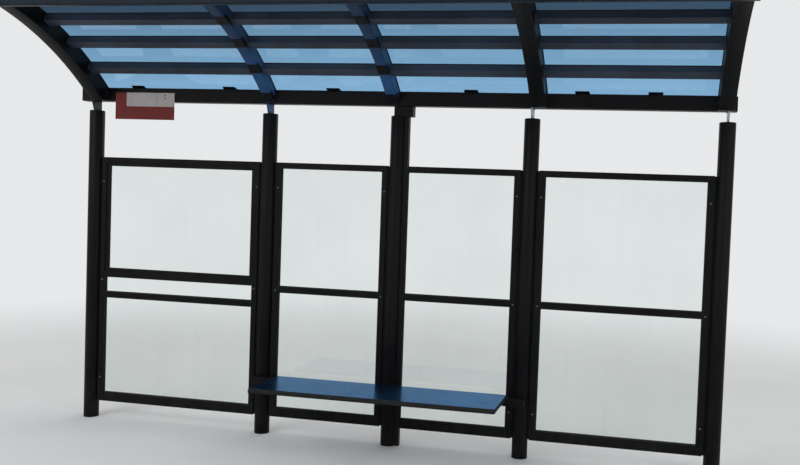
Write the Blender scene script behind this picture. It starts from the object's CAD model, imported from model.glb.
import math

import bmesh
import bpy
from mathutils import Matrix, Vector


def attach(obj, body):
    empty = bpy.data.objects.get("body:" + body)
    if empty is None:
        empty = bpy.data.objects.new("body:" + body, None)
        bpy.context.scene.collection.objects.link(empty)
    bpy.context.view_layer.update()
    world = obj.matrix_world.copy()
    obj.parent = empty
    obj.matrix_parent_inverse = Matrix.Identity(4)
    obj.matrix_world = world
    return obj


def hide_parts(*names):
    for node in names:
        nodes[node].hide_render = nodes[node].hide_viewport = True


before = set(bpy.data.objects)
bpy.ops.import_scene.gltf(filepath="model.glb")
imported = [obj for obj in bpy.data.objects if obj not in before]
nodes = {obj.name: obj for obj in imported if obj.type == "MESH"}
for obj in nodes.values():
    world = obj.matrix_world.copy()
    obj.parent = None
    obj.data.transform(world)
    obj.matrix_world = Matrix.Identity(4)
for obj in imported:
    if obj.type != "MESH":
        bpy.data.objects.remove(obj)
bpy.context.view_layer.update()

scene = bpy.context.scene

# The sizes of part.scad, in metres. The lists over posts, ribs, purlins and bays start with a spare entry, so
# that post 1 is entry 1.
post_x = [0.0, -2.220, -0.905, 0.0, 0.885, 2.085]
rib_x = [0.0, -2.169, -0.897, -0.029, 0.928, 2.070]
rib_w = [0.0, 0.095, 0.072, 0.072, 0.095, 0.095]
rib_d = [0.0, 0.110, 0.074, 0.074, 0.110, 0.110]
post_r = 0.0505
post_top = 2.173
beam_z = 2.241
beam_top = 2.331
beam_half = 0.040
beam_left = -2.314
beam_right = 2.136
arch_r = 2.239
arch_z = 0.629
arch_out = 0.0213 + math.sqrt(arch_r ** 2 - (beam_top - arch_z) ** 2)
foot_angle = math.asin((beam_top - arch_z) / arch_r)
glass_t = 0.006
roof_reach = 1.150
purlin_w = 0.060
purlin_d = 0.050
purlin_at = [0.0, 0.221, 0.478, 0.719, 0.959]
frame_low = 0.120
frame_high = 1.850
frame_half = 0.020
frame_gap = 0.010
upright_w = 0.035
bar_w = 0.025
lowest_rail_h = 0.060
rail_h = 0.035
rail_middles = [[], [0.881, 1.027], [0.991], [0.991], [0.991]]
lug_middles = [0.290, 0.985, 1.680]
lug_half = 0.020
lug_half_d = 0.012
liner_w = 0.021
neck_half = 0.006
board_lip = 0.006
board_h = 0.213
board_t = 0.040
board_high = arch_z + math.sqrt((arch_r + glass_t) ** 2 - (arch_out - roof_reach) ** 2) + board_lip
board_low = board_high - board_h
board_left, board_right = -2.2215, 2.1225
seat_left, seat_right = -0.735, 0.810
seat_back, seat_front = -0.135, -0.563
seat_low, seat_high = 0.405, 0.430
seat_edge_r = 0.012
carrier_back, carrier_front = -0.0625, -0.1125
carrier_h = 0.050
carrier_over = 0.028
arm_x = [-0.635, 0.0, 0.710]
arm_half = 0.006
arm_top = 0.399
rail_ys = [-0.200, -0.440]
plate_left, plate_right = -2.044, -1.594
plate_low, plate_high = 2.116, 2.301
plate_front = -0.051
clamp_places = [[], [0.22, 0.76], [0.51], [0.535], [0.235, 0.63]]


def arch_point(x, angle, radius):
    """A point of the roof's section, with the angle in radians above the level through the arch's centre."""
    return Vector((x, radius * math.cos(angle) - arch_out, arch_z + radius * math.sin(angle)))


# Camera, at the place and angle fitted to the posts, rails and ribs of the photograph

photo_width = 800
focal_pixels = 862.3
middle_pixels = 82.8
sensor = 36.0
turn, tilt, lean = 0.1981, 0.0378, 0.0383
eye = Vector((1.686, -5.461, 1.65))
ahead = Vector((-math.sin(turn) * math.cos(tilt), math.cos(turn) * math.cos(tilt), -math.sin(tilt)))
level = Vector((math.cos(turn), math.sin(turn), 0.0))
above = level.cross(ahead)
right = math.cos(lean) * level + math.sin(lean) * above
upward = -math.sin(lean) * level + math.cos(lean) * above
camera_data = bpy.data.cameras.new("camera")
camera_data.sensor_fit = "HORIZONTAL"
camera_data.sensor_width = sensor
camera_data.lens = focal_pixels / photo_width * sensor
camera_data.shift_x = -middle_pixels / photo_width
camera_data.clip_start = 0.05
camera_data.clip_end = 300.0
camera = bpy.data.objects.new("camera", camera_data)
camera.matrix_world = Matrix.Translation(eye) @ Matrix((right, upward, -ahead)).transposed().to_4x4()
scene.collection.objects.link(camera)
scene.camera = camera

# Materials. Each surface reads the object's own coordinates, which are metres in the frame.


class Surface:
    """A material with one Principled shader and short calls for the nodes that feed it."""

    def __init__(self, name):
        self.material = bpy.data.materials.new(name)
        self.material.use_nodes = True
        self.tree = self.material.node_tree
        self.tree.nodes.clear()
        self.out = self.add("ShaderNodeOutputMaterial")
        self.shader = self.add("ShaderNodeBsdfPrincipled")
        self.join(self.shader.outputs["BSDF"], self.out.inputs["Surface"])
        self.place = self.add("ShaderNodeTexCoord").outputs["Object"]

    def add(self, kind, **settings):
        node = self.tree.nodes.new(kind)
        for name, value in settings.items():
            setattr(node, name, value)
        return node

    def join(self, source, socket):
        self.tree.links.new(source, socket)

    def put(self, socket, value):
        if isinstance(value, bpy.types.NodeSocket):
            self.join(value, socket)
        else:
            socket.default_value = value

    def noise(self, scale, detail=3.0, rough=0.55, stretch=(1.0, 1.0, 1.0)):
        mapping = self.add("ShaderNodeMapping")
        mapping.inputs["Scale"].default_value = stretch
        self.join(self.place, mapping.inputs["Vector"])
        node = self.add("ShaderNodeTexNoise")
        node.inputs["Scale"].default_value = scale
        node.inputs["Detail"].default_value = detail
        node.inputs["Roughness"].default_value = rough
        self.join(mapping.outputs["Vector"], node.inputs["Vector"])
        return node.outputs["Fac"]

    def spread(self, value, low, high, out_low=0.0, out_high=1.0):
        node = self.add("ShaderNodeMapRange", interpolation_type="SMOOTHSTEP")
        self.put(node.inputs["Value"], value)
        node.inputs["From Min"].default_value = low
        node.inputs["From Max"].default_value = high
        node.inputs["To Min"].default_value = out_low
        node.inputs["To Max"].default_value = out_high
        return node.outputs["Result"]

    def maths(self, operation, a, b):
        node = self.add("ShaderNodeMath", operation=operation)
        self.put(node.inputs[0], a)
        self.put(node.inputs[1], b)
        return node.outputs["Value"]

    def blend(self, share, a, b):
        # Inputs 6 and 7 and output 2 of this node are the ones for colours.
        node = self.add("ShaderNodeMix", data_type="RGBA")
        self.put(node.inputs["Factor"], share)
        self.put(node.inputs[6], a)
        self.put(node.inputs[7], b)
        return node.outputs[2]

    def along(self, axis):
        split = self.add("ShaderNodeSeparateXYZ")
        self.join(self.place, split.inputs["Vector"])
        return split.outputs[axis]

    def edges(self, radius):
        """0 on open faces, rising towards 1 at edges and corners."""
        rounded = self.add("ShaderNodeBevel", samples=4)
        rounded.inputs["Radius"].default_value = radius
        shape = self.add("ShaderNodeNewGeometry")
        product = self.add("ShaderNodeVectorMath", operation="DOT_PRODUCT")
        self.join(rounded.outputs["Normal"], product.inputs[0])
        self.join(shape.outputs["Normal"], product.inputs[1])
        return self.spread(product.outputs["Value"], 0.98, 0.80)

    def bump(self, height, strength, distance, below=None):
        node = self.add("ShaderNodeBump")
        node.inputs["Strength"].default_value = strength
        node.inputs["Distance"].default_value = distance
        self.join(height, node.inputs["Height"])
        if below is not None:
            self.join(below, node.inputs["Normal"])
        return node.outputs["Normal"]


def colour(r, g, b):
    return (r, g, b, 1.0)


def paint(name, base, worn, rough, shine, dirt, grime, front=None):
    """Sprayed paint on steel: clouded colour, fine peel, rain streaks, dust near the ground and worn edges.

    Where front is given, the paint is that colour under the front of the roof."""
    fade_front, fade_rear = -0.70, -0.12
    dust_top = 0.42
    s = Surface(name)
    deep = colour(*(c * 0.72 for c in base))
    pale = colour(*(min(1.0, c * 1.35 + 0.001) for c in base))
    cloud = s.noise(2.3, 4.0, 0.6)
    body = s.blend(s.spread(cloud, 0.3, 0.7), deep, pale)
    if front:
        body = s.blend(s.spread(s.along(1), fade_front, fade_rear), colour(*front), body)
    grain = s.noise(190.0, 2.0, 0.5)
    body = s.blend(s.spread(grain, 0.52, 0.74, 0.0, 0.22), body, colour(*(c * 1.8 + 0.004 for c in base)))
    streak = s.noise(26.0, 3.0, 0.6, (1.0, 1.0, 0.045))
    run = s.spread(streak, 0.54, 0.72)
    body = s.blend(s.maths("MULTIPLY", run, 0.16 * dirt + 0.02), body, colour(*grime))
    low = s.spread(s.along(2), dust_top, 0.0)
    mottle = s.spread(s.noise(17.0, 5.0, 0.65, (1.0, 1.0, 0.6)), 0.38, 0.68)
    dust = s.maths("MULTIPLY", low, mottle)
    body = s.blend(s.maths("MULTIPLY", dust, dirt), body, colour(*grime))
    chips = s.maths("MULTIPLY", s.edges(0.004), s.spread(s.noise(38.0, 4.0, 0.7), 0.46, 0.60))
    body = s.blend(s.maths("MULTIPLY", chips, 0.55), body, colour(*worn))
    s.join(body, s.shader.inputs["Base Color"])
    dull = s.maths("MULTIPLY", s.maths("ADD", run, dust), 0.16)
    gloss = s.spread(cloud, 0.25, 0.75, rough - 0.06, rough + 0.07)
    s.join(s.maths("ADD", gloss, dull), s.shader.inputs["Roughness"])
    s.shader.inputs["Specular IOR Level"].default_value = shine
    peel = s.noise(420.0, 2.0, 0.5)
    waves = s.noise(34.0, 2.0, 0.5)
    s.join(s.bump(peel, 0.10, 0.0006, s.bump(waves, 0.05, 0.002)), s.shader.inputs["Normal"])
    return s.material


def zinc(name, base, rough):
    """Galvanised or plain steel: soft spangle, faint brushing and stains."""
    s = Surface(name)
    cells = s.add("ShaderNodeTexVoronoi", feature="F1")
    cells.inputs["Scale"].default_value = 62.0
    s.join(s.place, cells.inputs["Vector"])
    spangle = s.add("ShaderNodeSeparateColor")
    s.join(cells.outputs["Color"], spangle.inputs["Color"])
    dark = colour(*(c * 0.78 for c in base))
    light = colour(*(min(1.0, c * 1.2) for c in base))
    body = s.blend(spangle.outputs[0], dark, light)
    stain = s.spread(s.noise(8.0, 5.0, 0.7), 0.45, 0.75)
    body = s.blend(s.maths("MULTIPLY", stain, 0.35), body, colour(*(c * 0.45 for c in base)))
    s.join(body, s.shader.inputs["Base Color"])
    s.shader.inputs["Metallic"].default_value = 0.35
    s.join(s.spread(spangle.outputs[1], 0.0, 1.0, rough - 0.08, rough + 0.12), s.shader.inputs["Roughness"])
    s.join(s.bump(s.noise(240.0, 2.0, 0.5, (1.0, 1.0, 8.0)), 0.08, 0.0005), s.shader.inputs["Normal"])
    return s.material


def rubber(name, base):
    """Weathered black rubber or sealant: matt, with a chalky bloom and small dimples."""
    s = Surface(name)
    bloom = s.spread(s.noise(45.0, 5.0, 0.7), 0.42, 0.72, 0.0, 0.5)
    chalky = colour(*(c * 2.4 + 0.006 for c in base))
    s.join(s.blend(bloom, colour(*base), chalky), s.shader.inputs["Base Color"])
    s.join(s.spread(s.noise(90.0, 3.0, 0.6), 0.3, 0.7, 0.58, 0.82), s.shader.inputs["Roughness"])
    s.shader.inputs["Specular IOR Level"].default_value = 0.25
    s.join(s.bump(s.noise(600.0, 2.0, 0.5), 0.18, 0.0004), s.shader.inputs["Normal"])
    return s.material


def glass(name, tints, shade, shine, film, film_colour):
    """Tinted glass that lets the lamps through, under a thin film of dust and dried rain.

    The tints are (Y, colour) pairs from the front to the rear, and the glass fades from one to the next."""
    s = Surface(name)
    body = colour(*tints[0][1])
    for (start, first), (end, second) in zip(tints, tints[1:]):
        body = s.blend(s.spread(s.along(1), start, end), body, colour(*second))
    cloud = s.spread(s.noise(1.1, 4.0, 0.6), 0.3, 0.7, 0.0, 0.06)
    s.join(s.blend(cloud, body, colour(0.0, 0.0, 0.0)), s.shader.inputs["Base Color"])
    s.shader.inputs["Transmission Weight"].default_value = 1.0
    s.shader.inputs["IOR"].default_value = 1.47
    s.shader.inputs["Specular IOR Level"].default_value = shine
    s.join(s.spread(s.noise(5.0, 5.0, 0.7), 0.35, 0.75, 0.0, 0.03), s.shader.inputs["Roughness"])
    s.join(s.bump(s.noise(3.2, 2.0, 0.5), 0.02, 0.003), s.shader.inputs["Normal"])
    dust = s.add("ShaderNodeBsdfDiffuse")
    dust.inputs["Color"].default_value = colour(*film_colour)
    drops = s.spread(s.noise(70.0, 3.0, 0.7), 0.56, 0.74)
    runs = s.spread(s.noise(16.0, 4.0, 0.65, (1.0, 1.0, 0.08)), 0.5, 0.78)
    veil = s.maths("ADD", s.maths("MULTIPLY", drops, 0.6), s.maths("MULTIPLY", runs, 0.8))
    dirty = s.add("ShaderNodeMixShader")
    s.join(s.maths("MULTIPLY", veil, film), dirty.inputs["Fac"])
    s.join(s.shader.outputs["BSDF"], dirty.inputs[1])
    s.join(dust.outputs["BSDF"], dirty.inputs[2])
    clear = s.add("ShaderNodeBsdfTransparent")
    clear.inputs["Color"].default_value = colour(*shade)
    path = s.add("ShaderNodeLightPath")
    both = s.add("ShaderNodeMixShader")
    s.join(path.outputs["Is Shadow Ray"], both.inputs["Fac"])
    s.join(dirty.outputs["Shader"], both.inputs[1])
    s.join(clear.outputs["BSDF"], both.inputs[2])
    s.join(both.outputs["Shader"], s.out.inputs["Surface"])
    return s.material


def seat_metal(name):
    """Blue metallic lacquer on the folded seat: clouded, finely brushed and a little rubbed."""
    s = Surface(name)
    cloud = s.spread(s.noise(3.0, 4.0, 0.6), 0.3, 0.7)
    body = s.blend(cloud, colour(0.040, 0.110, 0.245), colour(0.058, 0.145, 0.305))
    grain = s.spread(s.noise(30.0, 3.0, 0.6, (0.06, 1.0, 1.0)), 0.45, 0.75, 0.0, 0.25)
    body = s.blend(grain, body, colour(0.085, 0.185, 0.34))
    rubbed = s.spread(s.noise(9.0, 5.0, 0.7, (0.5, 1.0, 1.0)), 0.56, 0.74, 0.0, 0.3)
    body = s.blend(rubbed, body, colour(0.030, 0.075, 0.16))
    worn = s.maths("MULTIPLY", s.edges(0.003), s.spread(s.noise(34.0, 4.0, 0.7), 0.46, 0.60))
    body = s.blend(s.maths("MULTIPLY", worn, 0.5), body, colour(0.20, 0.24, 0.29))
    s.join(body, s.shader.inputs["Base Color"])
    s.shader.inputs["Metallic"].default_value = 0.92
    s.shader.inputs["Specular Tint"].default_value = colour(0.42, 0.555, 0.70)
    gloss = s.spread(cloud, 0.0, 1.0, 0.19, 0.24)
    s.join(s.maths("ADD", gloss, s.maths("MULTIPLY", rubbed, 0.5)), s.shader.inputs["Roughness"])
    s.join(s.bump(s.noise(7.0, 2.0, 0.5), 0.06, 0.002, s.bump(s.noise(300.0, 2.0, 0.5), 0.06, 0.0004)),
           s.shader.inputs["Normal"])
    return s.material


def sign_plate(name, upper, lower, band_h, strip_w):
    """A bare enamelled plate: a pale field over a dark red band, and a strip of that red up the left edge."""
    s = Surface(name)
    soft = 0.0008
    over_band = s.spread(s.along(2), plate_low + band_h - soft, plate_low + band_h + soft)
    past_strip = s.spread(s.along(0), plate_left + strip_w - soft, plate_left + strip_w + soft)
    field = s.maths("MULTIPLY", over_band, past_strip)
    cloud = s.spread(s.noise(6.0, 4.0, 0.6), 0.3, 0.7)
    pale = s.blend(cloud, colour(*(c * 0.88 for c in upper)), colour(*upper))
    red = s.blend(cloud, colour(*(c * 0.8 for c in lower)), colour(*lower))
    body = s.blend(field, red, pale)
    streak = s.spread(s.noise(30.0, 3.0, 0.6, (1.0, 1.0, 0.06)), 0.5, 0.74, 0.0, 0.3)
    body = s.blend(streak, body, colour(0.055, 0.050, 0.046))
    s.join(body, s.shader.inputs["Base Color"])
    s.join(s.spread(cloud, 0.0, 1.0, 0.36, 0.48), s.shader.inputs["Roughness"])
    s.shader.inputs["Specular IOR Level"].default_value = 0.13
    waves = s.bump(s.noise(9.0), 0.05, 0.002)
    s.join(s.bump(s.noise(300.0, 2.0, 0.5), 0.08, 0.0005, waves), s.shader.inputs["Normal"])
    return s.material


grey_dust = (0.07, 0.07, 0.07)
black_paint = paint("black_paint", (0.0034, 0.0034, 0.0041), worn=(0.055, 0.055, 0.058), rough=0.44,
                    shine=0.09, dirt=0.22, grime=(0.045, 0.042, 0.038))
navy_paint = paint("navy_paint", (0.016, 0.057, 0.150), worn=(0.07, 0.085, 0.11), rough=0.42,
                   shine=0.12, dirt=0.1, grime=(0.06, 0.06, 0.06), front=(0.013, 0.033, 0.076))
slate_paint = paint("slate_paint", (0.0275, 0.0365, 0.0535), worn=(0.09, 0.10, 0.11), rough=0.46,
                    shine=0.16, dirt=0.15, grime=grey_dust)
board_paint = paint("board_paint", (0.0060, 0.0110, 0.0195), worn=(0.06, 0.066, 0.076), rough=0.42,
                    shine=0.09, dirt=0.12, grime=grey_dust)
grey_paint = paint("grey_paint", (0.020, 0.022, 0.026), worn=(0.08, 0.08, 0.085), rough=0.46,
                   shine=0.16, dirt=0.2, grime=grey_dust)
neck_zinc = zinc("neck_zinc", (0.30, 0.35, 0.39), rough=0.42)
bolt_zinc = zinc("bolt_zinc", (0.11, 0.11, 0.112), rough=0.40)
seal_rubber = rubber("seal_rubber", (0.004, 0.004, 0.0045))
clear_tints = [(0.0, (0.90, 0.95, 0.93))]
roof_tints = [(-0.645, (0.060, 0.115, 0.185)), (-0.620, (0.195, 0.385, 0.59)), (-0.200, (0.26, 0.51, 0.76)),
              (-0.05, (0.30, 0.57, 0.85))]
roof_tint = glass("roof_tint", roof_tints, shade=(0.55, 0.70, 0.82), shine=0.3, film=0.03,
                  film_colour=(0.42, 0.47, 0.50))
wall_clear = glass("wall_clear", clear_tints, shade=(0.93, 0.97, 0.96), shine=0.5, film=0.02,
                   film_colour=(0.45, 0.46, 0.44))

# Floor and light

floor_mesh = bpy.data.meshes.new("floor")
floor_form = bmesh.new()
bmesh.ops.create_circle(floor_form, cap_ends=True, segments=96, radius=90.0)
floor_form.to_mesh(floor_mesh)
floor_form.free()
floor = bpy.data.objects.new("floor", floor_mesh)
floor.location.z = -0.0004
scene.collection.objects.link(floor)

studio_pale = (0.80, 0.81, 0.82)
fade_start, fade_end = 3.0, 9.0
ground = Surface("studio_floor")
ground_cloud = ground.spread(ground.noise(0.8, 3.0), 0.3, 0.7)
ground_base = ground.blend(ground_cloud, colour(0.76, 0.765, 0.77), colour(0.79, 0.795, 0.80))
ground.join(ground_base, ground.shader.inputs["Base Color"])
ground.shader.inputs["Roughness"].default_value = 0.85
ground.shader.inputs["Specular IOR Level"].default_value = 0.2
distance = ground.add("ShaderNodeVectorMath", operation="LENGTH")
ground.join(ground.place, distance.inputs[0])
far_light = ground.add("ShaderNodeEmission")
far_light.inputs["Color"].default_value = colour(*studio_pale)
far_mix = ground.add("ShaderNodeMixShader")
ground.join(ground.spread(distance.outputs["Value"], fade_start, fade_end), far_mix.inputs["Fac"])
ground.join(ground.shader.outputs["BSDF"], far_mix.inputs[1])
ground.join(far_light.outputs["Emission"], far_mix.inputs[2])
ground.join(far_mix.outputs["Shader"], ground.out.inputs["Surface"])
floor_mesh.materials.append(ground.material)

world = bpy.data.worlds.new("studio")
world.use_nodes = True
world_nodes = world.node_tree.nodes
world_links = world.node_tree.links
world_nodes.clear()
world_out = world_nodes.new("ShaderNodeOutputWorld")
seen = world_nodes.new("ShaderNodeBackground")
seen.inputs["Color"].default_value = colour(*studio_pale)
lighting = world_nodes.new("ShaderNodeBackground")
lighting.inputs["Color"].default_value = colour(1.0, 1.0, 1.0)
lighting.inputs["Strength"].default_value = 0.50
rays = world_nodes.new("ShaderNodeLightPath")
either = world_nodes.new("ShaderNodeMath")
either.operation = "MAXIMUM"
world_links.new(rays.outputs["Is Camera Ray"], either.inputs[0])
world_links.new(rays.outputs["Is Glossy Ray"], either.inputs[1])
any_seen = world_nodes.new("ShaderNodeMath")
any_seen.operation = "MAXIMUM"
world_links.new(either.outputs["Value"], any_seen.inputs[0])
world_links.new(rays.outputs["Is Transmission Ray"], any_seen.inputs[1])
world_mix = world_nodes.new("ShaderNodeMixShader")
world_links.new(any_seen.outputs["Value"], world_mix.inputs["Fac"])
world_links.new(lighting.outputs["Background"], world_mix.inputs[1])
world_links.new(seen.outputs["Background"], world_mix.inputs[2])
world_links.new(world_mix.outputs["Shader"], world_out.inputs["Surface"])
scene.world = world


def lamp(name, place, target, width, height, power):
    data = bpy.data.lights.new(name, "AREA")
    data.shape = "RECTANGLE"
    data.size = width
    data.size_y = height
    data.energy = power
    made = bpy.data.objects.new(name, data)
    made.location = place
    made.rotation_euler = (Vector(target) - Vector(place)).to_track_quat("-Z", "Y").to_euler()
    made.visible_transmission = False
    scene.collection.objects.link(made)


lamp("key", (-4.5, -7.0, 5.5), (0.0, -0.3, 1.2), width=5.0, height=4.0, power=240.0)
lamp("fill", (6.5, -5.0, 3.2), (0.0, -0.3, 1.2), width=4.0, height=3.0, power=90.0)
lamp("top", (0.0, -1.0, 7.5), (0.0, -0.5, 0.0), width=6.0, height=4.0, power=110.0)
lamp("back", (1.0, 8.0, 5.0), (0.0, 0.0, 1.2), width=6.0, height=3.0, power=80.0)

scene.view_settings.view_transform = "Standard"

# Finish of the frame's nodes


def dress(name, material, edge):
    """Gives a node its material, and a rounding of that width on its sharp edges."""
    node = nodes[name]
    node.data.materials.clear()
    node.data.materials.append(material)
    for face in node.data.polygons:
        face.material_index = 0
    weld = node.modifiers.new("join", "WELD")
    weld.merge_threshold = 0.00002
    if edge:
        round_off = node.modifiers.new("round", "BEVEL")
        round_off.width = edge
        round_off.segments = 2
        round_off.limit_method = "ANGLE"
        round_off.angle_limit = math.radians(35.0)


for i in range(1, 6):
    dress("post_%d" % i, black_paint, edge=0.0012)
    dress("rib_%d" % i, navy_paint if i in (2, 3) else black_paint, edge=0.003)
for i in range(1, 5):
    dress("purlin_%d" % i, slate_paint, edge=0.002)
    dress("wall_frame_%d" % i, black_paint, edge=0.0015)
    dress("roof_glass_%d" % i, roof_tint, edge=0.0)
    dress("wall_glass_%d" % i, wall_clear, edge=0.0)
for i in (1, 2, 3):
    dress("bench_arm_%d" % i, black_paint, edge=0.001)
dress("bench_carrier", black_paint, edge=0.0015)
dress("rear_beam", black_paint, edge=0.0)
dress("front_edge", black_paint, edge=0.0)
dress("neck_block", black_paint, edge=0.002)
dress("neck_plate_1", grey_paint, edge=0.001)
dress("neck_plate_2", navy_paint, edge=0.001)
dress("neck_plate_4", neck_zinc, edge=0.001)
dress("neck_plate_5", neck_zinc, edge=0.001)
dress("wall_liner", black_paint, edge=0.001)
dress("roof_clamps", black_paint, edge=0.002)
dress("bench_rails", black_paint, edge=0.0015)
dress("stop_plate_spacers", black_paint, edge=0.001)

plate_paint = sign_plate("plate_paint", upper=(0.39, 0.36, 0.35), lower=(0.155, 0.019, 0.018), band_h=0.090,
                         strip_w=0.085)
dress("bench_seat", seat_metal("seat_blue"), edge=0.0)
dress("stop_plate", plate_paint, edge=0.0006)

# Detail pieces. Each one is a mesh made here from points, in metres in the frame.


def skin(form, rings, closed=False):
    """Skins a row of rings, each a list of points. An open row gets a face over each end."""
    rows = [[form.verts.new(point) for point in ring] for ring in rings]
    count = len(rows[0])
    for a in range(len(rows) if closed else len(rows) - 1):
        low = rows[a]
        high = rows[(a + 1) % len(rows)]
        for b in range(count):
            c = (b + 1) % count
            form.faces.new((low[b], low[c], high[c], high[b]))
    if not closed:
        form.faces.new(rows[0])
        form.faces.new(rows[-1][::-1])


def finished(name, form, material, crease=38.0):
    """Turns a form into a piece of the frame, smooth but for its sharp edges."""
    bmesh.ops.recalc_face_normals(form, faces=form.faces[:])
    mesh = bpy.data.meshes.new(name)
    form.to_mesh(mesh)
    form.free()
    mesh.materials.append(material)
    for face in mesh.polygons:
        face.use_smooth = True
    mesh.set_sharp_from_angle(angle=math.radians(crease))
    made = bpy.data.objects.new(name, mesh)
    scene.collection.objects.link(made)
    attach(made, "root")
    return made


def turned(form, centre, axis, profile, sides):
    """Turns a profile of (radius, height) pairs round an axis through centre."""
    axis = Vector(axis).normalized()
    across = axis.orthogonal().normalized()
    beside = axis.cross(across)
    rings = []
    for radius, height in profile:
        ring = []
        for k in range(sides):
            a = 2.0 * math.pi * k / sides
            outward = across * math.cos(a) + beside * math.sin(a)
            ring.append(Vector(centre) + axis * height + outward * radius)
        rings.append(ring)
    skin(form, rings)


def dome_screw(form, centre, axis, r):
    """A round head of radius r with a hollow in its top."""
    profile = [(r, -0.0005), (r, 0.12 * r), (0.93 * r, 0.38 * r), (0.74 * r, 0.60 * r), (0.45 * r, 0.75 * r),
               (0.38 * r, 0.74 * r), (0.36 * r, 0.35 * r)]
    turned(form, centre, axis, profile, sides=18)


def hex_bolt(form, centre, axis, r):
    """A hexagon head of radius r on a washer."""
    washer = [(1.35 * r, -0.0004), (1.35 * r, 0.18 * r), (1.27 * r, 0.24 * r)]
    head = [(r, 0.2 * r), (r, 0.80 * r), (0.88 * r, 0.92 * r), (0.5 * r, 0.94 * r)]
    turned(form, centre, axis, washer, sides=24)
    turned(form, centre, axis, head, sides=6)


def bead(form, start, end, a, b, size, seed=0.0, lift=None):
    """A rippled weld from start to end, with its feet in the directions a and b.

    Its crown lies between the feet, or in the direction of lift where that is given."""
    start, end, a, b = Vector(start), Vector(end), Vector(a), Vector(b)
    swell = (a + b) * 0.85 if lift is None else Vector(lift)
    steps = max(5, int((end - start).length / 0.0032))
    rings = []
    for k in range(steps + 1):
        wave = 1.0 + 0.09 * math.sin(2.2 * k + seed) + 0.07 * math.sin(0.61 * k + 2.3 * seed)
        reach = size * wave * (0.6 if k in (0, steps) else 1.0)
        at = start.lerp(end, k / steps)
        ring = [at - swell * 0.12 * size]
        for t in (0.0, 0.3, 0.5, 0.7, 1.0):
            ring.append(at + (a * (1 - t) ** 2 + swell * 2.0 * t * (1 - t) + b * t * t) * reach)
        rings.append(ring)
    skin(form, rings)


def seal_line(form, start, end, a, b, size):
    """A line of sealant in the corner between two surfaces, with its feet in the directions a and b."""
    a, b = Vector(a), Vector(b)
    rings = []
    for at in (Vector(start), Vector(end)):
        ring = [at - (a + b) * 0.1 * size]
        for t in (0.0, 0.25, 0.5, 0.75, 1.0):
            ring.append(at + (a * (1 - t) ** 2 + (a + b) * 0.5 * t * (1 - t) + b * t * t) * size)
        rings.append(ring)
    skin(form, rings)


def mitred(form, x0, x1, z0, z1, side, profile):
    """A mitred ring round an upright opening. The profile is (way inwards, distance from Y = 0)."""
    rings = []
    for x, z, sx, sz in ((x0, z0, 1, 1), (x1, z0, -1, 1), (x1, z1, -1, -1), (x0, z1, 1, -1)):
        rings.append([Vector((x + sx * inward, side * y, z + sz * inward)) for inward, y in profile])
    skin(form, rings, True)


def arch_strip(form, section, low, high, steps=72):
    """Sweeps a section of (X, radius) pairs along the roof's curve between two angles."""
    rings = []
    for k in range(steps + 1):
        angle = low + (high - low) * k / steps
        rings.append([arch_point(x, angle, radius) for x, radius in section])
    skin(form, rings)


def rounded(y0, y1, z0, z1, r, steps):
    """A rectangle with round corners, as (point, outward direction) pairs from its low front corner on."""
    pairs = []
    corners = ((y0 + r, z0 + r, 180), (y1 - r, z0 + r, 270), (y1 - r, z1 - r, 0), (y0 + r, z1 - r, 90))
    for y, z, first in corners:
        for k in range(steps):
            a = math.radians(first + 90 * k / (steps - 1))
            outward = Vector((0, math.cos(a), math.sin(a)))
            pairs.append((Vector((0, y, z)) + outward * r, outward))
    return pairs


def clear_openings(i):
    """The openings of wall frame i as (X, X, Z, Z), from the lowest up."""
    left = post_x[i] + post_r + (bar_w if i == 3 else frame_gap + upright_w)
    far = post_x[i + 1] - post_r - frame_gap - upright_w
    lows = [frame_low + lowest_rail_h] + [z + rail_h / 2 for z in rail_middles[i]]
    highs = [z - rail_h / 2 for z in rail_middles[i]] + [frame_high - rail_h]
    return [(left, far, low, high) for low, high in zip(lows, highs)]


glass_r = arch_r + glass_t
foot_outer = math.asin((beam_top - arch_z) / glass_r)
front_outer = math.acos((arch_out - roof_reach) / glass_r)
front_inner = math.acos((arch_out - roof_reach) / arch_r)
front_z = arch_z + math.sqrt(arch_r ** 2 - (arch_out - roof_reach) ** 2)

# Rubber round every pane, on both faces

deep_profile = [(-0.001, 0.0172), (0.0012, 0.0182), (0.0024, 0.0178), (0.0058, 0.0112), (0.0064, 0.0092),
                (0.0064, 0.0036), (-0.001, 0.0036)]
thin_profile = [(-0.001, 0.0112), (0.0012, 0.0121), (0.0022, 0.0117), (0.0044, 0.0085), (0.0050, 0.0070),
                (0.0050, 0.0036), (-0.001, 0.0036)]
for side, word in ((-1, "front"), (1, "rear")):
    form = bmesh.new()
    for i in range(1, 5):
        for k, (x0, x1, z0, z1) in enumerate(clear_openings(i)):
            if i == 1 and k == 2:
                mitred(form, x0 + liner_w, x1 - liner_w, z0 + liner_w, z1 - liner_w, side, thin_profile)
            else:
                mitred(form, x0, x1, z0, z1, side, deep_profile)
    finished("pane_rubber_" + word, form, seal_rubber, crease=25.0)

# Ground seams where the rails meet the uprights, and screws at the lugs

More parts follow.
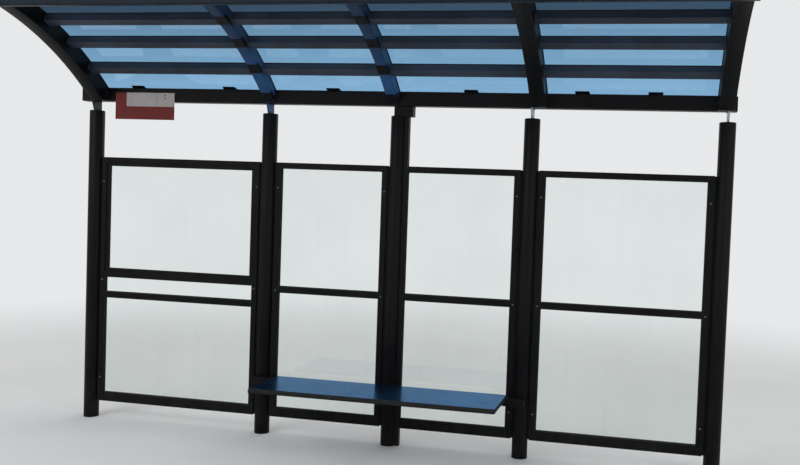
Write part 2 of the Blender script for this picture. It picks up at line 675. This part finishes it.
seams = bmesh.new()
screws = bmesh.new()
lug_welds = bmesh.new()
for i in range(1, 5):
    openings = clear_openings(i)
    left, far = openings[0][0], openings[0][1]
    rails = [(frame_low, frame_low + lowest_rail_h), (frame_high - rail_h, frame_high)]
    rails += [(z - rail_h / 2, z + rail_h / 2) for z in rail_middles[i]]
    for side in (-1, 1):
        y = side * frame_half
        for low, high in rails:
            for x in (left, far):
                bead(seams, (x, y, low + 0.002), (x, y, high - 0.002), (-1, 0, 0), (1, 0, 0), size=0.0024,
                     seed=x + low, lift=(0, side * 0.5, 0))
        for z in lug_middles:
            if i != 3:
                dome_screw(screws, (left - upright_w / 2, y, z), (0, side, 0), r=0.0065)
            dome_screw(screws, (far + upright_w / 2, y, z), (0, side, 0), r=0.0065)
    for z in lug_middles:
        for facing, x in ((1, left - upright_w), (-1, far + upright_w)):
            if i == 3 and facing == 1:
                continue
            for side in (-1, 1):
                y, short_d, short_h = side * lug_half_d, lug_half_d - 0.002, lug_half - 0.002
                bead(lug_welds, (x, y, z - short_h), (x, y, z + short_h),
                     (0, side, 0), (-facing, 0, 0), size=0.003, seed=z)
                bead(lug_welds, (x, -short_d, z + side * lug_half), (x, short_d, z + side * lug_half),
                     (0, 0, side), (-facing, 0, 0), size=0.003, seed=z)
finished("frame_seams", seams, black_paint, crease=60.0)
finished("frame_screws", screws, bolt_zinc)
finished("lug_welds", lug_welds, black_paint, crease=60.0)

# Rubber strips that close the gaps between the frames and the round posts, above, below and between the lugs

strip_form = [(-0.0004, -0.0076), (0.0035, -0.0060), (0.0068, -0.0062), (0.0118, -0.0080), (0.0106, 0.0),
              (0.0118, 0.0080), (0.0068, 0.0062), (0.0035, 0.0060), (-0.0004, 0.0076)]
strip_ends = [frame_low + 0.003]
for z in lug_middles:
    strip_ends += [z - lug_half, z + lug_half]
strip_ends.append(frame_high - 0.003)
gap_strips = bmesh.new()
for i in range(1, 5):
    sides = [(post_x[i + 1] - post_r - frame_gap, 1)]
    if i != 3:
        sides.append((post_x[i] + post_r + frame_gap, -1))
    for x, facing in sides:
        for low, high in zip(strip_ends[::2], strip_ends[1::2]):
            rings = [[Vector((x + facing * out, y, z)) for out, y in strip_form] for z in (low, high)]
            skin(gap_strips, rings)
finished("gap_strips", gap_strips, seal_rubber, crease=40.0)

# Caps on the posts

caps = bmesh.new()
cap_profile = [(0.0488, -0.001), (0.0494, 0.0006), (0.0490, 0.0022), (0.0478, 0.0034), (0.0455, 0.0040),
               (0.030, 0.0044), (0.012, 0.0045)]
for i in range(1, 6):
    turned(caps, (post_x[i], 0, post_top), (0, 0, 1), cap_profile, sides=64)
finished("post_caps", caps, black_paint)

# Welds of the necks and the neck block

necks = bmesh.new()
foot_front, foot_rear, head_half = -0.030, 0.038, 0.034
block_left, block_right, block_half = -0.024, 0.102, 0.030
bar_right = post_r + bar_w
for i in (1, 2, 4, 5):
    low = post_top + 0.004
    for side in (-1, 1):
        x = post_x[i] + side * neck_half
        bead(necks, (x, foot_front, low), (x, foot_rear, low), (side, 0, 0), (0, 0, 1), size=0.0045,
             seed=post_x[i])
        bead(necks, (x, -head_half, beam_z), (x, head_half, beam_z), (side, 0, 0), (0, 0, -1), size=0.005,
             seed=post_x[i] + side)
for side in (-1, 1):
    y = side * block_half
    bead(necks, (block_left, y, beam_z), (block_right, y, beam_z), (0, side, 0), (0, 0, -1), size=0.0055,
         seed=side)
    y = side * frame_half
    bead(necks, (post_r + 0.0005, y, post_top), (bar_right, y, post_top), (0, side, 0), (0, 0, -1),
         size=0.004, seed=side)
bead(necks, (bar_right, 0.001 - frame_half, post_top), (bar_right, frame_half - 0.001, post_top), (1, 0, 0),
     (0, 0, -1), size=0.004, seed=2.0)
finished("neck_welds", necks, black_paint, crease=60.0)

# Welds of the ribs at the beam and at the front board

welds = bmesh.new()
for i in range(1, 6):
    low = arch_z + math.sqrt((arch_r - rib_d[i]) ** 2 - (arch_out - roof_reach) ** 2)
    for side in (-1, 1):
        x = rib_x[i] + side * rib_w[i] / 2
        bead(welds, (x, -beam_half, beam_z + 0.003), (x, -beam_half, beam_top - 0.004),
             (side, 0, 0), (0, -1, 0), size=0.006, seed=x)
        bead(welds, (x, -roof_reach, low), (x, -roof_reach, front_z - 0.006),
             (side, 0, 0), (0, 1, 0), size=0.0055, seed=x)
    left, far = rib_x[i] - rib_w[i] / 2 + 0.002, rib_x[i] + rib_w[i] / 2 - 0.002
    bead(welds, (left, -roof_reach, low), (far, -roof_reach, low),
         (0, 0, -1), (0, 1, 0), size=0.0055, seed=rib_x[i])
    y, z = 0.0015 - beam_half, beam_z + 0.0024
    bead(welds, (left, y, z), (far, y, z),
         (0, -0.8, -0.6), (0, 0.8, -0.6), size=0.0048, seed=rib_x[i], lift=(0, -0.1, -1.0))
finished("rib_welds", welds, black_paint, crease=60.0)

# Dark shoes under ribs 2 and 3, at the beam and just in front of every purlin

shoe_t = 0.0016
shoe_half = 0.043
shoe_ahead = 0.056
beam_shoe = (-0.034, 0.050)
tuck = 0.0006
shoes = bmesh.new()
for i in (2, 3):
    spans = [tuple(foot_angle + end / arch_r for end in beam_shoe)]
    for k in range(1, 5):
        angle = foot_angle + (purlin_at[k] + shoe_ahead) / arch_r
        spans.append((angle - shoe_half / arch_r, angle + shoe_half / arch_r))
    left, far = rib_x[i] - rib_w[i] / 2, rib_x[i] + rib_w[i] / 2
    high = arch_r - purlin_d - 0.003
    low = arch_r - rib_d[i]
    section = [(left - shoe_t, high), (left - shoe_t, low), (left, low - shoe_t), (far, low - shoe_t),
               (far + shoe_t, low), (far + shoe_t, high), (far - tuck, high), (far - tuck, low + tuck),
               (left + tuck, low + tuck), (left + tuck, high)]
    for first, last in spans:
        arch_strip(shoes, section, first, last, steps=8)
finished("rib_shoes", shoes, black_paint)

# Welds at both ends of every purlin, and sealant between the purlins and the glass

purlin_r = math.sqrt(arch_r ** 2 - (purlin_w / 2) ** 2)
purlin_welds = bmesh.new()
purlin_seals = bmesh.new()
for k in range(1, 5):
    angle = foot_angle + purlin_at[k] / arch_r
    radial = Vector((0, math.cos(angle), math.sin(angle)))
    along = Vector((0, -math.sin(angle), math.cos(angle)))
    middle = Vector((0, -arch_out, arch_z))
    for i in range(1, 5):
        ends = (rib_x[i] + rib_w[i] / 2, rib_x[i + 1] - rib_w[i + 1] / 2)
        for x, facing in zip(ends, (1, -1)):
            at = middle + Vector((x, 0, 0))
            under = at + radial * (purlin_r - purlin_d)
            reach = along * (purlin_w / 2 - 0.001)
            bead(purlin_welds, under - reach, under + reach, -radial, (facing, 0, 0), size=0.0045, seed=x + k)
            for side in (-1, 1):
                edge = along * side * purlin_w / 2
                low = at + edge + radial * (purlin_r - purlin_d)
                high = at + edge + radial * (purlin_r - 0.003)
                bead(purlin_welds, low, high, along * side, (facing, 0, 0), size=0.0045, seed=x - k)
        for side in (-1, 1):
            edge = middle + along * side * purlin_w / 2 + radial * purlin_r
            first, last = edge + Vector((ends[0], 0, 0)), edge + Vector((ends[1], 0, 0))
            seal_line(purlin_seals, first, last, along * side, -radial, size=0.0045)
finished("purlin_welds", purlin_welds, slate_paint, crease=60.0)
finished("purlin_sealant", purlin_seals, seal_rubber, crease=60.0)

# Cap strips over the joints of the roof glass, trims on its ends, their screws, and sealant along the ribs

strips = bmesh.new()
strip_screws = bmesh.new()
rib_seals = bmesh.new()
small_screw = 0.0055
tongue = 0.0045
cap_half = 0.022
trim_w = 0.040
trim_over = 0.002
slope = 0.0025
side_r = glass_r + 0.0020
top_r = glass_r + 0.0038
start = foot_outer + 0.0022
for i in range(1, 6):
    x = rib_x[i]
    if i in (2, 3, 4):
        section = [(x - tongue, arch_r), (x + tongue, arch_r), (x + tongue, glass_r), (x + cap_half, glass_r),
                   (x + cap_half, side_r), (x + cap_half - slope, top_r), (x - cap_half + slope, top_r),
                   (x - cap_half, side_r), (x - cap_half, glass_r), (x - tongue, glass_r)]
        screw_x = x
    else:
        facing = 1 if i == 1 else -1
        outer = x - facing * rib_w[i] / 2
        lip = outer - facing * trim_over
        inner = outer + facing * trim_w
        section = [(lip, arch_r), (outer, arch_r), (outer, glass_r), (inner, glass_r), (inner, side_r),
                   (inner - facing * slope, top_r), (outer - facing * 0.0004, top_r), (lip, glass_r + 0.0024)]
        screw_x = outer + facing * trim_w / 2
    arch_strip(strips, section, start, front_outer)
    for share in (0.07, 0.285, 0.5, 0.715, 0.93):
        angle = start + (front_outer - start) * share
        spot = arch_point(screw_x, angle, top_r)
        dome_screw(strip_screws, spot, (0, math.cos(angle), math.sin(angle)), r=small_screw)
    for side in (-1, 1):
        if (i == 1 and side == -1) or (i == 5 and side == 1):
            continue
        face = x + side * rib_w[i] / 2
        foot, hollow, behind = 0.005, 0.0017, face - side * 0.0005
        section = [(behind, arch_r), (face + side * foot, arch_r), (face + side * hollow, arch_r - hollow),
                   (face, arch_r - foot), (behind, arch_r - foot)]
        arch_strip(rib_seals, section, foot_outer + 0.004, front_inner)
finished("roof_cap_strips", strips, black_paint)
finished("roof_cap_screws", strip_screws, bolt_zinc)
finished("rib_sealant", rib_seals, seal_rubber, crease=60.0)

# Sealant along the foot of the roof glass and along its front edge

edge_seals = bmesh.new()
lean_back = Vector((0, -math.sin(foot_outer), math.cos(foot_outer)))
roof_left, roof_right = rib_x[1] - rib_w[1] / 2, rib_x[5] + rib_w[5] / 2
y = glass_r * math.cos(foot_outer) - arch_out
seal_line(edge_seals, (roof_left, y, beam_top), (roof_right, y, beam_top), (0, 1, 0), lean_back, size=0.008)
y = arch_r * math.cos(foot_angle) - arch_out
for i in range(1, 5):
    left, far = rib_x[i] + rib_w[i] / 2, rib_x[i + 1] - rib_w[i + 1] / 2
    seal_line(edge_seals, (left, y, beam_top), (far, y, beam_top), (0, -1, 0), lean_back, size=0.007)
    seal_line(edge_seals, (left, -roof_reach, front_z), (far, -roof_reach, front_z), (0, 0, -1), (0, 1, 0),
              size=0.007)
z = board_high - board_lip
seal_line(edge_seals, (roof_left, -roof_reach, z), (roof_right, -roof_reach, z), (0, 0, 1), (0, 1, 0),
          size=0.005)
finished("roof_edge_sealant", edge_seals, seal_rubber, crease=60.0)

# Bolts on the clamps that hold down the glass

clamp_bolts = bmesh.new()
bolt_half_gap, bolt_y, bolt_z = 0.026, 0.0040, beam_top + 0.0136
clamp_slope = (0, 0.261, 0.965)
for i in range(1, 5):
    for share in clamp_places[i]:
        x = rib_x[i] + share * (rib_x[i + 1] - rib_x[i])
        for side in (-1, 1):
            hex_bolt(clamp_bolts, (x + side * bolt_half_gap, bolt_y, bolt_z), clamp_slope, r=0.0072)
finished("clamp_bolts", clamp_bolts, bolt_zinc)

# The front board, with a shallow bare tray in its face and a joint in the middle


def board_ring(x, margin, tray):
    """The board's outline at X, drawn in by a margin all round, with or without the tray in its front."""
    y0, y1 = -roof_reach - board_t + margin, -roof_reach - margin
    z0, z1 = board_low + margin, board_high - margin
    points = [point + Vector((x, 0, 0)) for point, outward in rounded(y0, y1, z0, z1, r=0.006, steps=6)]
    if tray:
        rim, floor_rim, deep = 0.014, 0.0165, 0.0045
        for z, depth in ((z1 - rim, 0.0), (z1 - floor_rim, deep), (z0 + floor_rim, deep), (z0 + rim, 0.0)):
            points.append(Vector((x, y0 + depth, z)))
    return points


board = bmesh.new()
joint = rib_x[3]
half_joint = 0.0006
end_w = 0.014
chamfer = 0.0008
for low, high in ((board_left + end_w, joint - half_joint), (joint + half_joint, board_right - end_w)):
    skin(board, [board_ring(low, chamfer, True), board_ring(low + chamfer, 0.0, True),
                 board_ring(high - chamfer, 0.0, True), board_ring(high, chamfer, True)])
end_profile = [(0.0, 0.0016), (0.0006, 0.0006), (0.0018, 0.0), (0.0132, 0.0), (0.0138, 0.0006)]
for end, facing in ((board_left, 1), (board_right, -1)):
    skin(board, [board_ring(end + facing * inward, margin, False) for inward, margin in end_profile])
front_board = finished("front_board", board, board_paint, crease=30.0)
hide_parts("front_edge")
board_screws = bmesh.new()
screw_inset = 0.040
for end, facing in ((board_left, -1), (board_right, 1)):
    for z in (board_low + screw_inset, (board_low + board_high) / 2, board_high - screw_inset):
        dome_screw(board_screws, (end, -roof_reach - board_t / 2, z), (facing, 0, 0), r=small_screw)
finished("front_board_screws", board_screws, bolt_zinc)

# Seams of the end plates of the beam

ends = bmesh.new()
end_plate_t = 0.004
beam_edge_r = 0.006
for x in (beam_left + end_plate_t, beam_right - end_plate_t):
    rings = []
    path = rounded(-beam_half, beam_half, beam_z, beam_top, r=beam_edge_r, steps=6)
    for n, (point, outward) in enumerate(path):
        rise = 0.0009 + 0.0002 * math.sin(2.4 * n)
        ring = []
        for along, lift in ((-0.0022, -0.0004), (-0.0012, rise), (0.0012, rise), (0.0022, -0.0004)):
            ring.append(point + Vector((x + along, 0, 0)) + outward * lift)
        rings.append(ring)
    skin(ends, rings, True)
finished("beam_end_seams", ends, black_paint, crease=60.0)

# The bench: edge trim, the nosing over its front fold, bolts on the arms, welds and end plugs

trim = bmesh.new()
rings = []
trim_profile = [(-0.0012, seat_low + 0.0002), (0.0018, seat_low + 0.0002), (0.0023, seat_low + 0.0014),
                (0.0023, seat_high - 0.0092), (0.0017, seat_high - 0.0078), (-0.0012, seat_high - 0.0078)]
for x, y, sx, sy in ((seat_left, seat_front, -1, -1), (seat_right, seat_front, 1, -1),
                     (seat_right, seat_back, 1, 1), (seat_left, seat_back, -1, 1)):
    rings.append([Vector((x + sx * out, y + sy * out, z)) for out, z in trim_profile])
skin(trim, rings, True)
finished("seat_edge_trim", trim, seal_rubber, crease=25.0)

nosing = bmesh.new()
nosing_over = 0.0021
nosing_form = []
for r, degrees in ((seat_edge_r + 0.0017, range(-6, 91, 8)), (seat_edge_r - 0.0010, range(90, -7, -8))):
    for a in degrees:
        y = seat_front + seat_edge_r - r * math.cos(math.radians(a))
        z = seat_high - seat_edge_r + r * math.sin(math.radians(a))
        nosing_form.append((y, z))
skin(nosing, [[Vector((x, y, z)) for y, z in nosing_form]
              for x in (seat_left - nosing_over, seat_right + nosing_over)])
finished("seat_nosing", nosing, seal_rubber, crease=40.0)

bench_bolts = bmesh.new()
bench_welds = bmesh.new()
carrier_low = arm_top - carrier_h
bolt_out = 0.0190
weld_tip = -0.455
for x in arm_x:
    for side in (-1, 1):
        for y in rail_ys:
            hex_bolt(bench_bolts, (x + side * bolt_out, y, arm_top), (0, 0, -1), r=0.0065)
        face = x + side * arm_half
        for start, end, b in (((weld_tip, arm_top), (carrier_front, arm_top), (0, 0, -1)),
                              ((carrier_front, arm_top), (carrier_front, carrier_low), (0, -1, 0)),
                              ((carrier_front, carrier_low), (carrier_back, carrier_low), (0, 0, -1))):
            bead(bench_welds, (face, *start), (face, *end), (side, 0, 0), b, size=0.0042, seed=x)
saddle_half = 0.028
saddle_y = -math.sqrt(post_r ** 2 - saddle_half ** 2)
for i in (2, 3, 4):
    for side in (-1, 1):
        x = post_x[i] + side * saddle_half
        bead(bench_welds, (x, saddle_y, carrier_low), (x, saddle_y, arm_top), (side * 0.83, 0.55, 0),
             (0, -1, 0), size=0.005, seed=post_x[i])
finished("bench_bolts", bench_bolts, bolt_zinc)
finished("bench_welds", bench_welds, black_paint, crease=60.0)

plugs = bmesh.new()
plug_profile = [(-0.001, 0.0225), (0.0016, 0.0225), (0.0026, 0.0215), (0.0026, 0.0165), (0.0016, 0.0150)]
middle_y, middle_z = (carrier_back + carrier_front) / 2, arm_top - carrier_h / 2
for x, facing in ((post_x[2] - carrier_over, -1), (post_x[4] + carrier_over, 1)):
    rings = []
    for out, half in plug_profile:
        outline = rounded(middle_y - half, middle_y + half, middle_z - half, middle_z + half, 0.004, steps=5)
        rings.append([point + Vector((x + facing * out, 0, 0)) for point, outward in outline])
    skin(plugs, rings)
finished("carrier_end_plugs", plugs, seal_rubber, crease=30.0)

# Screws of the stop plate

plate_screws = bmesh.new()
from_side = 0.070
for x in (plate_left + from_side, plate_right - from_side):
    for from_top in (0.039, 0.017):
        dome_screw(plate_screws, (x, plate_front, plate_high - from_top), (0, -1, 0), r=small_screw)
finished("stop_plate_screws", plate_screws, bolt_zinc)
